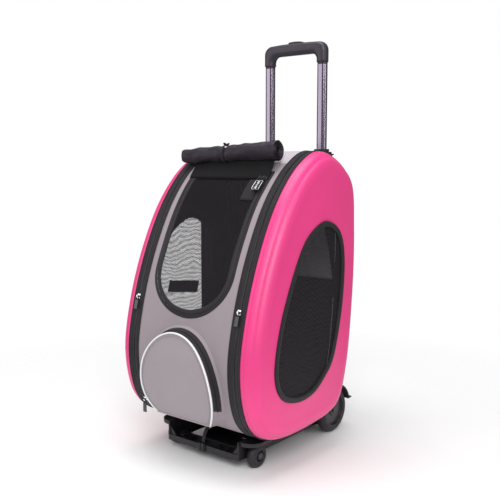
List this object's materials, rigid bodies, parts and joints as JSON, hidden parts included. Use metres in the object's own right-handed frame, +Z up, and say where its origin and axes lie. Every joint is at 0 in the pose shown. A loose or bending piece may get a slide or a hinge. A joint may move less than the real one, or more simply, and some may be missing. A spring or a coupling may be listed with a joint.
{
  "type": "wheeled pet carrier",
  "caption": "Wheeled soft-sided pet carrier: domed side shells with oval mesh windows, mesh front door, pocket, rolled cover, moulded tray and telescoping handle.",
  "frame": {"origin": "on the ground, at the middle of the footprint", "axes": "+Z up, +Y to the handle side, -Y to the mesh door, +X to the left of someone who stands behind the handle and looks over it to the door"},
  "size_m": [0.3658, 0.4469, 0.853],
  "materials": {
    "tray_plastic": "fine moulded texture",
    "cap_plastic": "satin",
    "axle_steel": "bright zinc",
    "tube_metal": "dark anodised, glossy",
    "collar_plastic": "satin",
    "grip_plastic": "soft-touch",
    "tyre_rubber": "matte",
    "hub_plastic": "satin",
    "grey_canvas": "coated woven polyester",
    "black_canvas": "woven polyester",
    "cushion_fabric": "brushed polyester",
    "cover_fabric": "thin coated nylon",
    "black_webbing": "ribbed tape",
    "black_mesh": "open knitted mesh",
    "pink_shell": "smooth fabric bonded to moulded foam",
    "rim_plastic": "satin",
    "white_piping": "reflective piping",
    "zip_metal": "polished",
    "zip_black": "black enamel"
  },
  "bodies": {
    "carrier": {"front_beam": "tray_plastic", "side_rail_left": "tray_plastic", "side_rail_right": "tray_plastic", "center_spine": "tray_plastic", "rear_beam": "tray_plastic", "front_fenders": "tray_plastic", "rear_mudguards": "tray_plastic", "front_axles": "axle_steel", "rear_axle": "axle_steel", "axle_caps": "cap_plastic", "outer_tubes": "tube_metal", "top_bracket": "collar_plastic", "frame_screws": "axle_steel", "front_latch": "collar_plastic", "front_strap": "black_webbing", "front_panel": "grey_canvas", "top_panel": "grey_canvas", "back_panel": "black_canvas", "bottom_panel": "black_canvas", "zip_band_left": "black_webbing", "zip_band_right": "black_webbing", "window_border": "black_webbing", "floor_cushion": "cushion_fabric", "rolled_cover": "cover_fabric", "roll_tie": "black_webbing", "pocket_wall": "grey_canvas", "back_sleeve": "black_canvas", "band_sliders": "zip_metal"},
    "front_wheel_left": {"front_tyre_left": "tyre_rubber", "front_hub_left": "hub_plastic"},
    "front_wheel_right": {"front_tyre_right": "tyre_rubber", "front_hub_right": "hub_plastic"},
    "rear_wheel_left": {"rear_tyre_left": "tyre_rubber", "rear_hub_left": "hub_plastic"},
    "rear_wheel_right": {"rear_tyre_right": "tyre_rubber", "rear_hub_right": "hub_plastic"},
    "handle_middle": {"middle_tubes": "tube_metal", "middle_bushes": "collar_plastic"},
    "handle_top": {"inner_tubes": "tube_metal", "inner_guides": "collar_plastic", "grip": "grip_plastic", "button_spring": "axle_steel"},
    "button": {"release_button": "collar_plastic", "push_rods": "axle_steel"},
    "left_shell": {"shell_left": "pink_shell", "window_mesh_left": "black_mesh", "window_rim_left": "rim_plastic"},
    "right_shell": {"shell_right": "pink_shell", "window_mesh_right": "black_mesh", "window_rim_right": "rim_plastic"},
    "front_door": {"door_binding": "black_webbing", "door_mesh": "black_mesh", "door_sliders": "zip_black"},
    "pocket_front": {"pocket_face": "grey_canvas", "pocket_piping": "white_piping"},
    "upper_door_pull": {"door_pull_upper": "zip_black"},
    "lower_door_pull": {"door_pull_lower": "zip_black"},
    "left_band_pull": {"side_pull_left": "zip_black"},
    "right_band_pull": {"side_pull_right": "zip_black"},
    "low_band_pull": {"low_pull": "zip_black"}
  },
  "joints": [
    {"name": "front_left_spin", "type": "hinge", "parent": "carrier", "child": "front_wheel_left", "pos_m": [-0.107, -0.101, 0.0245], "axis": [1, 0, 0], "continuous": true},
    {"name": "front_right_spin", "type": "hinge", "parent": "carrier", "child": "front_wheel_right", "pos_m": [0.107, -0.101, 0.0245], "axis": [1, 0, 0], "continuous": true},
    {"name": "rear_left_spin", "type": "hinge", "parent": "carrier", "child": "rear_wheel_left", "pos_m": [-0.1095, 0.159, 0.05], "axis": [1, 0, 0], "continuous": true},
    {"name": "rear_right_spin", "type": "hinge", "parent": "carrier", "child": "rear_wheel_right", "pos_m": [0.1095, 0.159, 0.05], "axis": [1, 0, 0], "continuous": true},
    {"name": "middle_slide", "type": "slide", "parent": "carrier", "child": "handle_middle", "axis": [0, 0, 1], "range_m": [-0.18, 0]},
    {"name": "top_slide", "type": "slide", "parent": "handle_middle", "child": "handle_top", "axis": [0, 0, 1], "range_m": [0, 0.17]},
    {"name": "button_press", "type": "slide", "parent": "handle_top", "child": "button", "axis": [0, 0, -1], "range_m": [0, 0.0035], "stiffness_N_per_m": 700, "springref_m": -0.003, "deforming": ["button_spring"]},
    {"name": "left_shell_open", "type": "hinge", "parent": "carrier", "child": "left_shell", "pos_m": [-0.1464, 0.157, 0.33], "axis": [0, 0, -1], "range_deg": [0, 100]},
    {"name": "right_shell_open", "type": "hinge", "parent": "carrier", "child": "right_shell", "pos_m": [0.1464, 0.157, 0.33], "axis": [0, 0, 1], "range_deg": [0, 100]},
    {"name": "door_fold", "type": "hinge", "parent": "carrier", "child": "front_door", "pos_m": [0, -0.18679, 0.3044], "axis": [1, 0, 0], "range_deg": [0, 130]},
    {"name": "pocket_open", "type": "hinge", "parent": "carrier", "child": "pocket_front", "pos_m": [0, -0.1902, 0.0979], "axis": [1, 0, 0], "range_deg": [0, 50]},
    {"name": "upper_door_pull_swing", "type": "hinge", "parent": "front_door", "child": "upper_door_pull", "pos_m": [0.094, -0.06237, 0.56402], "axis": [-1, 0, 0], "range_deg": [0, 60]},
    {"name": "lower_door_pull_swing", "type": "hinge", "parent": "front_door", "child": "lower_door_pull", "pos_m": [0.0845, -0.06237, 0.56402], "axis": [-1, 0, 0], "range_deg": [0, 60]},
    {"name": "left_band_pull_swing", "type": "hinge", "parent": "carrier", "child": "left_band_pull", "pos_m": [-0.132, -0.18585, 0.32464], "axis": [-1, 0, 0], "range_deg": [0, 60]},
    {"name": "right_band_pull_swing", "type": "hinge", "parent": "carrier", "child": "right_band_pull", "pos_m": [0.132, -0.18585, 0.32464], "axis": [-1, 0, 0], "range_deg": [0, 60]},
    {"name": "low_pull_swing", "type": "hinge", "parent": "carrier", "child": "low_band_pull", "pos_m": [-0.122, -0.18091, 0.10992], "axis": [-1, 0, 0], "range_deg": [0, 60]}
  ]
}
